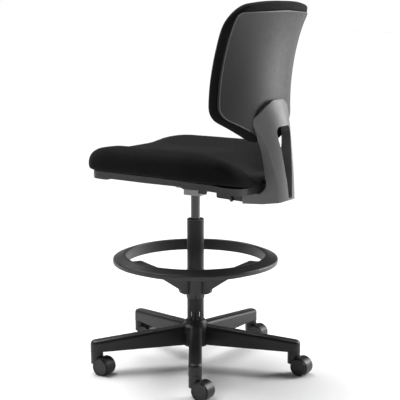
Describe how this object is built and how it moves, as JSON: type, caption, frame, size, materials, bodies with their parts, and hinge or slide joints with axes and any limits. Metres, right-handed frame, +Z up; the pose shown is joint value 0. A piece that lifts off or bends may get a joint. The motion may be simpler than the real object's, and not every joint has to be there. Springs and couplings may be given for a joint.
{
  "type": "drafting chair",
  "caption": "Tall armless drafting chair with fabric seat and back, curved back upright, height-adjusting foot ring, gas-lift column and star base on twin-wheel casters.",
  "frame": {"origin": "on the floor, on the column's axis", "axes": "+Z up; the chair faces -Y, so +Y is its rear and +X the seated person's left"},
  "size_m": [0.6128, 0.6571, 1.0878],
  "materials": {
    "base_plastic": "moulded glass-filled nylon, fine texture",
    "column_paint": "satin black powder coat",
    "cylinder_paint": "gloss black pressure tube",
    "trim_light": "pale plastic guide bush",
    "steel": "plated steel",
    "chrome": "polished piston rod",
    "ring_plastic": "moulded black plastic, fine texture",
    "zinc": "machined casting",
    "mech_paint": "black electrocoat",
    "handle_plastic": "moulded black plastic",
    "pan_plastic": "moulded black plastic, fine texture",
    "plywood": "raw plywood",
    "seat_fabric": "black woven upholstery",
    "back_fabric": "black woven upholstery",
    "shell_plastic": "moulded charcoal plastic, fine texture",
    "upright_plastic": "moulded charcoal plastic, fine texture",
    "caster_plastic": "moulded black nylon",
    "wheel_plastic": "moulded black nylon"
  },
  "bodies": {
    "base": {"star_base": "base_plastic", "column_tube": "column_paint", "column_guide_bush": "trim_light", "thrust_bearing": "steel"},
    "lift_rod": {"lift_rod": "chrome", "rod_clip": "steel", "piston": "steel"},
    "carrier": {"gas_cylinder": "cylinder_paint", "mechanism_hub": "zinc", "mechanism_housing": "mech_paint", "tilt_pivot_pin": "steel", "tilt_spring": "steel", "spring_washer": "steel"},
    "seat": {"tilt_plate": "mech_paint", "seat_screws": "steel", "seat_pan": "pan_plastic", "seat_board": "plywood", "seat_cushion": "seat_fabric", "back_bracket": "mech_paint", "back_upright": "upright_plastic", "back_shell": "shell_plastic", "back_cushion": "back_fabric"},
    "height_lever": {"height_lever": "mech_paint", "lever_grip": "handle_plastic"},
    "release_pin": {"release_pin": "steel"},
    "tension_knob": {"tension_bolt": "steel", "tension_knob": "handle_plastic"},
    "back_lock_lever": {"back_lock_lever": "handle_plastic"},
    "ring_collet": {"foot_ring_collet": "ring_plastic"},
    "foot_ring": {"foot_ring": "ring_plastic"},
    "caster_1": {"caster_1_hood": "caster_plastic", "caster_1_stem": "steel", "caster_1_axle": "steel"},
    "caster_1_wheel_left": {"caster_1_wheel_left": "wheel_plastic"},
    "caster_1_wheel_right": {"caster_1_wheel_right": "wheel_plastic"},
    "caster_2": {"caster_2_hood": "caster_plastic", "caster_2_stem": "steel", "caster_2_axle": "steel"},
    "caster_2_wheel_left": {"caster_2_wheel_left": "wheel_plastic"},
    "caster_2_wheel_right": {"caster_2_wheel_right": "wheel_plastic"},
    "caster_3": {"caster_3_hood": "caster_plastic", "caster_3_stem": "steel", "caster_3_axle": "steel"},
    "caster_3_wheel_left": {"caster_3_wheel_left": "wheel_plastic"},
    "caster_3_wheel_right": {"caster_3_wheel_right": "wheel_plastic"},
    "caster_4": {"caster_4_hood": "caster_plastic", "caster_4_stem": "steel", "caster_4_axle": "steel"},
    "caster_4_wheel_left": {"caster_4_wheel_left": "wheel_plastic"},
    "caster_4_wheel_right": {"caster_4_wheel_right": "wheel_plastic"},
    "caster_5": {"caster_5_hood": "caster_plastic", "caster_5_stem": "steel", "caster_5_axle": "steel"},
    "caster_5_wheel_left": {"caster_5_wheel_left": "wheel_plastic"},
    "caster_5_wheel_right": {"caster_5_wheel_right": "wheel_plastic"}
  },
  "joints": [
    {"name": "seat_swivel", "type": "hinge", "parent": "base", "child": "lift_rod", "pos_m": [0, 0, 0.3], "axis": [0, 0, 1], "continuous": true},
    {"name": "seat_height", "type": "slide", "parent": "lift_rod", "child": "carrier", "axis": [0, 0, 1], "range_m": [-0.05, 0.19]},
    {"name": "seat_tilt", "type": "hinge", "parent": "carrier", "child": "seat", "pos_m": [0, -0.03, 0.556], "axis": [-1, 0, 0], "range_deg": [0, 10], "stiffness_Nm_per_rad": 150, "springref_deg": -11.46},
    {"name": "height_lever_pivot", "type": "hinge", "parent": "carrier", "child": "height_lever", "pos_m": [-0.026, 0, 0.556], "axis": [0, 1, 0], "range_deg": [0, 6], "stiffness_Nm_per_rad": 1, "springref_deg": -28.65},
    {"name": "release_pin_stroke", "type": "slide", "parent": "carrier", "child": "release_pin", "axis": [0, 0, 1], "range_m": [-0.003, 0]},
    {"name": "tension_knob_turn", "type": "hinge", "parent": "carrier", "child": "tension_knob", "pos_m": [0, -0.1, 0.56], "axis": [0, 1, 0], "continuous": true},
    {"name": "back_lock_pivot", "type": "hinge", "parent": "seat", "child": "back_lock_lever", "pos_m": [0.045, 0.147, 0.541], "axis": [1, 0, 0], "range_deg": [0, 25]},
    {"name": "ring_height", "type": "slide", "parent": "base", "child": "ring_collet", "axis": [0, 0, 1], "range_m": [-0.06, 0.06]},
    {"name": "ring_twist", "type": "hinge", "parent": "ring_collet", "child": "foot_ring", "pos_m": [0, 0, 0.25], "axis": [0, 0, 1], "range_deg": [0, 45]},
    {"name": "caster_1_swivel", "type": "hinge", "parent": "base", "child": "caster_1", "pos_m": [0.25781, 0.16742, 0.07], "axis": [0, 0, 1], "continuous": true},
    {"name": "caster_1_left_roll", "type": "hinge", "parent": "caster_1", "child": "caster_1_wheel_left", "pos_m": [0.25781, 0.19342, 0.025], "axis": [1, 0, 0], "continuous": true},
    {"name": "caster_1_right_roll", "type": "hinge", "parent": "caster_1", "child": "caster_1_wheel_right", "pos_m": [0.25781, 0.19342, 0.025], "axis": [1, 0, 0], "continuous": true},
    {"name": "caster_2_swivel", "type": "hinge", "parent": "base", "child": "caster_2", "pos_m": [-0.07956, 0.29693, 0.07], "axis": [0, 0, 1], "continuous": true},
    {"name": "caster_2_left_roll", "type": "hinge", "parent": "caster_2", "child": "caster_2_wheel_left", "pos_m": [-0.07956, 0.32293, 0.025], "axis": [1, 0, 0], "continuous": true},
    {"name": "caster_2_right_roll", "type": "hinge", "parent": "caster_2", "child": "caster_2_wheel_right", "pos_m": [-0.07956, 0.32293, 0.025], "axis": [1, 0, 0], "continuous": true},
    {"name": "caster_3_swivel", "type": "hinge", "parent": "base", "child": "caster_3", "pos_m": [-0.30698, 0.01609, 0.07], "axis": [0, 0, 1], "continuous": true},
    {"name": "caster_3_left_roll", "type": "hinge", "parent": "caster_3", "child": "caster_3_wheel_left", "pos_m": [-0.30698, 0.04209, 0.025], "axis": [1, 0, 0], "continuous": true},
    {"name": "caster_3_right_roll", "type": "hinge", "parent": "caster_3", "child": "caster_3_wheel_right", "pos_m": [-0.30698, 0.04209, 0.025], "axis": [1, 0, 0], "continuous": true},
    {"name": "caster_4_swivel", "type": "hinge", "parent": "base", "child": "caster_4", "pos_m": [-0.11016, -0.28698, 0.07], "axis": [0, 0, 1], "continuous": true},
    {"name": "caster_4_left_roll", "type": "hinge", "parent": "caster_4", "child": "caster_4_wheel_left", "pos_m": [-0.11016, -0.26098, 0.025], "axis": [1, 0, 0], "continuous": true},
    {"name": "caster_4_right_roll", "type": "hinge", "parent": "caster_4", "child": "caster_4_wheel_right", "pos_m": [-0.11016, -0.26098, 0.025], "axis": [1, 0, 0], "continuous": true},
    {"name": "caster_5_swivel", "type": "hinge", "parent": "base", "child": "caster_5", "pos_m": [0.23889, -0.19345, 0.07], "axis": [0, 0, 1], "continuous": true},
    {"name": "caster_5_left_roll", "type": "hinge", "parent": "caster_5", "child": "caster_5_wheel_left", "pos_m": [0.23889, -0.16745, 0.025], "axis": [1, 0, 0], "continuous": true},
    {"name": "caster_5_right_roll", "type": "hinge", "parent": "caster_5", "child": "caster_5_wheel_right", "pos_m": [0.23889, -0.16745, 0.025], "axis": [1, 0, 0], "continuous": true}
  ],
  "couplings": [
    {"joint": "release_pin_stroke", "follows": "height_lever_pivot", "m_per_rad": -0.026}
  ]
}
